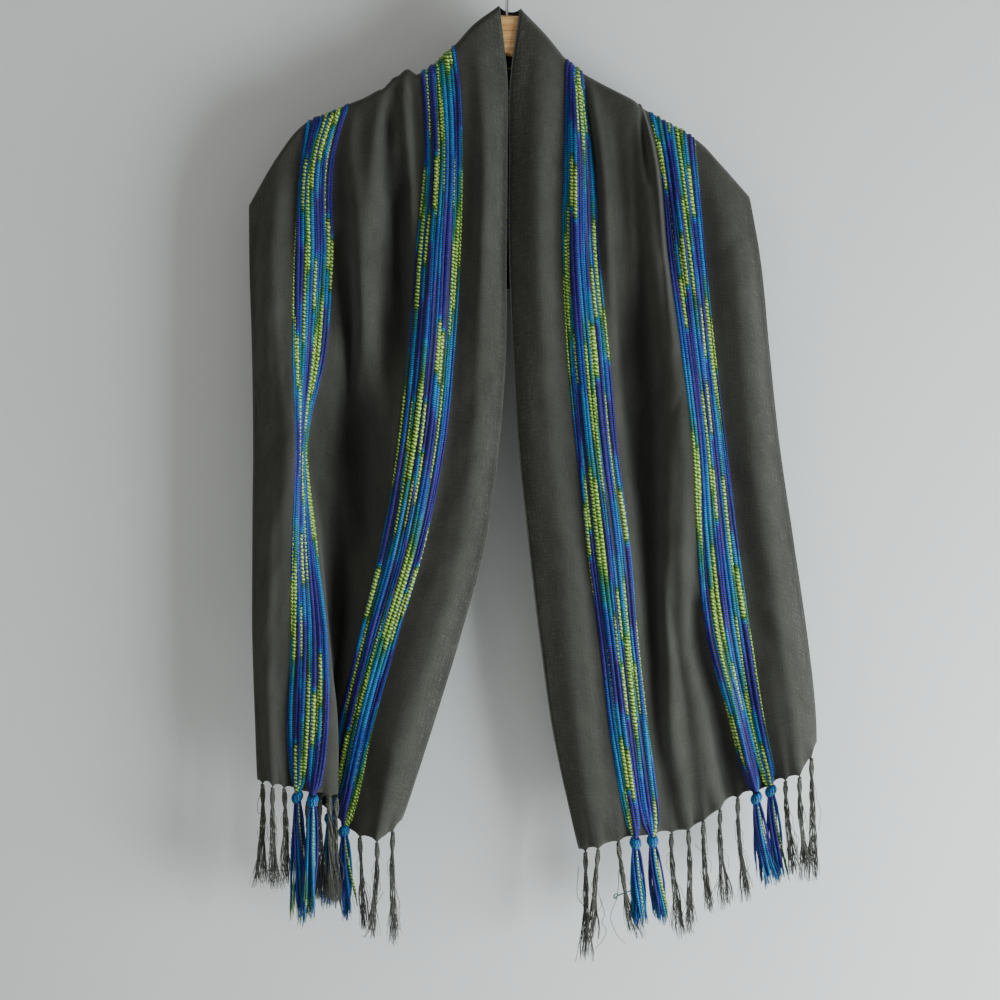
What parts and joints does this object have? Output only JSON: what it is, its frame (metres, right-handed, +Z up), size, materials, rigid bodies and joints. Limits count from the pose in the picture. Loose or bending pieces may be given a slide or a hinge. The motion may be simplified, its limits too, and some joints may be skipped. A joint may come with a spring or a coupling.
{
  "type": "fringed scarf on a clothes hanger",
  "caption": "Fringed woven scarf with two lengthwise bands of slub yarn, draped over a wooden clothes hanger with a wire hook.",
  "frame": {"origin": "inside the top of the hanger's hook, where the rail or peg that holds it lies", "axes": "+Z up, -Y towards the front of the scarf, +X to the right as seen from the front"},
  "size_m": [0.6258, 0.061, 1.1155],
  "materials": {
    "cloth": "thin plain weave, matt",
    "plain_fringe": "twisted yarn, matt",
    "fancy_fringe": "space-dyed slub yarn, soft sheen",
    "wood": "clear varnish",
    "wire": "drawn wire"
  },
  "bodies": {
    "root": {"left_front": "cloth", "right_front": "cloth", "back": "cloth", "hanger_arms": "wood", "hook": "wire", "left_tassel_01": "plain_fringe", "left_tassel_02": "plain_fringe", "left_tassel_03": "plain_fringe", "left_tassel_04": "fancy_fringe", "left_tassel_05": "fancy_fringe", "left_tassel_06": "plain_fringe", "left_tassel_07": "plain_fringe", "left_tassel_08": "plain_fringe", "left_tassel_09": "plain_fringe", "left_tassel_10": "plain_fringe", "left_tassel_11": "fancy_fringe", "left_tassel_12": "fancy_fringe", "left_tassel_13": "plain_fringe", "left_tassel_14": "plain_fringe", "left_tassel_15": "plain_fringe", "right_tassel_01": "plain_fringe", "right_tassel_02": "plain_fringe", "right_tassel_03": "plain_fringe", "right_tassel_04": "fancy_fringe", "right_tassel_05": "fancy_fringe", "right_tassel_06": "plain_fringe", "right_tassel_07": "plain_fringe", "right_tassel_08": "plain_fringe", "right_tassel_09": "plain_fringe", "right_tassel_10": "plain_fringe", "right_tassel_11": "fancy_fringe", "right_tassel_12": "fancy_fringe", "right_tassel_13": "plain_fringe", "right_tassel_14": "plain_fringe", "right_tassel_15": "plain_fringe"}
  },
  "joints": []
}
